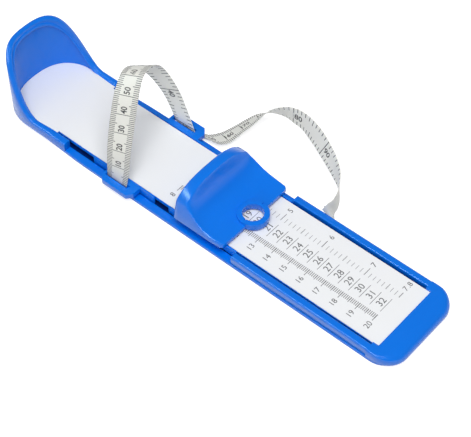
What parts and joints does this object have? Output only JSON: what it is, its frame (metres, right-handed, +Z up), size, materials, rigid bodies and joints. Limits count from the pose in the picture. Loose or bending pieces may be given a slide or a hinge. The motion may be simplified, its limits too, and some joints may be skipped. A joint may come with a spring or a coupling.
{
  "type": "foot measuring device",
  "caption": "Moulded tray with a raised heel cup and printed length scales, a toe slider with a round reading window, and a sliding carriage with a flexible tape for the girth.",
  "frame": {"origin": "centre of the tray in plan, on the surface that the tray stands on", "axes": "+X from the heel cup to the toe end, +Y across the tray towards the side where the tape leaves the carriage, +Z up"},
  "size_m": [0.2566, 0.092, 0.0611],
  "materials": {
    "tray_plastic": "moulded blue plastic, satin to glossy",
    "slider_plastic": "moulded blue plastic, satin",
    "printed_card": "white printed card, satin",
    "tape": "coated fabric tape, matt grey print on a pale strip"
  },
  "bodies": {
    "tray": {"tray": "tray_plastic", "base_plate": "tray_plastic", "scale_card": "printed_card"},
    "slider": {"toe_slider": "slider_plastic"},
    "carriage": {"tape_carriage": "slider_plastic", "tape_loop": "tape", "tape_tail": "tape"}
  },
  "joints": [
    {"name": "toe_slide", "type": "slide", "parent": "tray", "child": "slider", "axis": [1, 0, 0], "range_m": [-0.0045, 0.08]},
    {"name": "carriage_slide", "type": "slide", "parent": "tray", "child": "carriage", "axis": [1, 0, 0], "range_m": [-0.024, 0.0045]}
  ]
}
